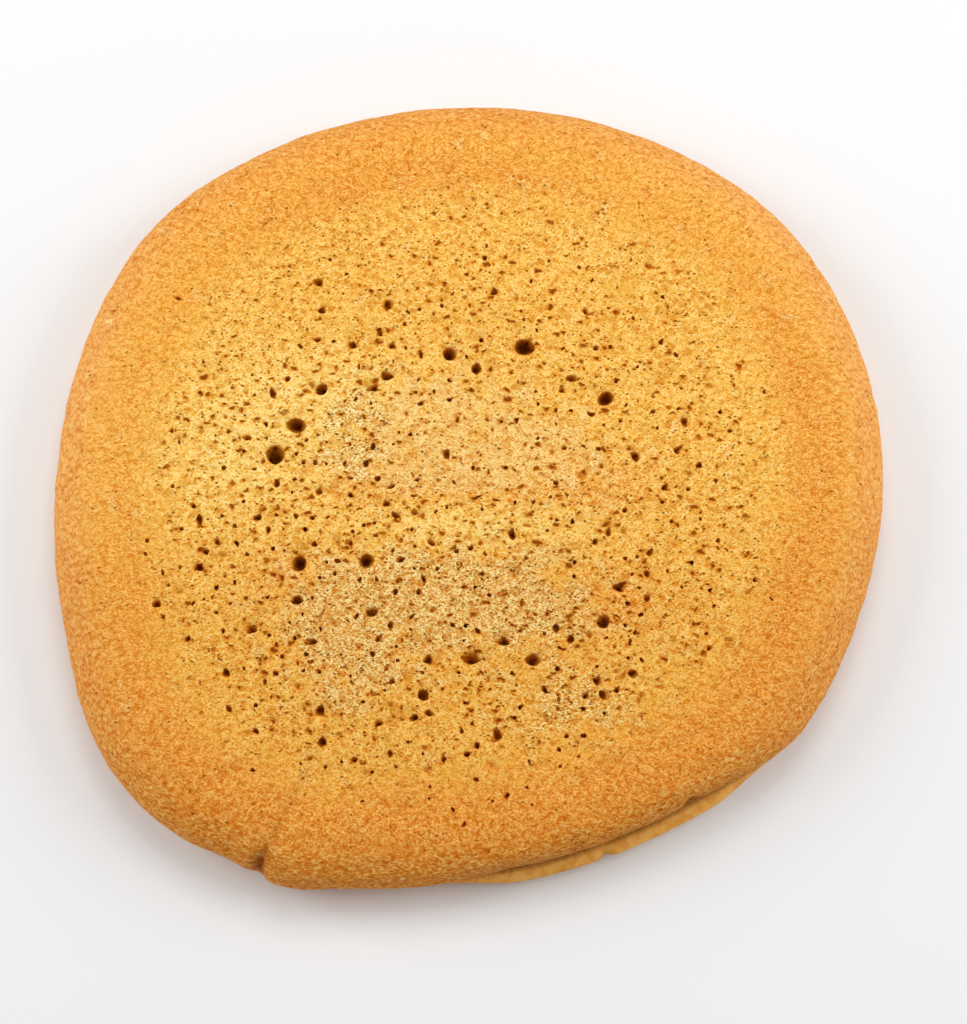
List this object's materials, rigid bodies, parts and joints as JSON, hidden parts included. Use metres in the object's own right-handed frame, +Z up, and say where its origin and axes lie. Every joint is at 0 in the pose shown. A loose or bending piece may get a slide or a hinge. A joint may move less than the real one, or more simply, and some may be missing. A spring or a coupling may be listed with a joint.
{
  "type": "pancake",
  "caption": "Thick, spongy griddle pancake with an open, holed top, a rounded rim and a flat browned underside.",
  "frame": {"origin": "under the middle of the pancake, on the surface that it lies on", "axes": "+Z up, out of the holed top; +Y towards the far side, away from the rim with the skirt; +X to the right"},
  "size_m": [0.1702, 0.1664, 0.0182],
  "materials": {
    "pancake_crust": "matte, golden and spongy, browner at the rim and underneath"
  },
  "bodies": {
    "root": {"pancake": "pancake_crust"}
  },
  "joints": []
}
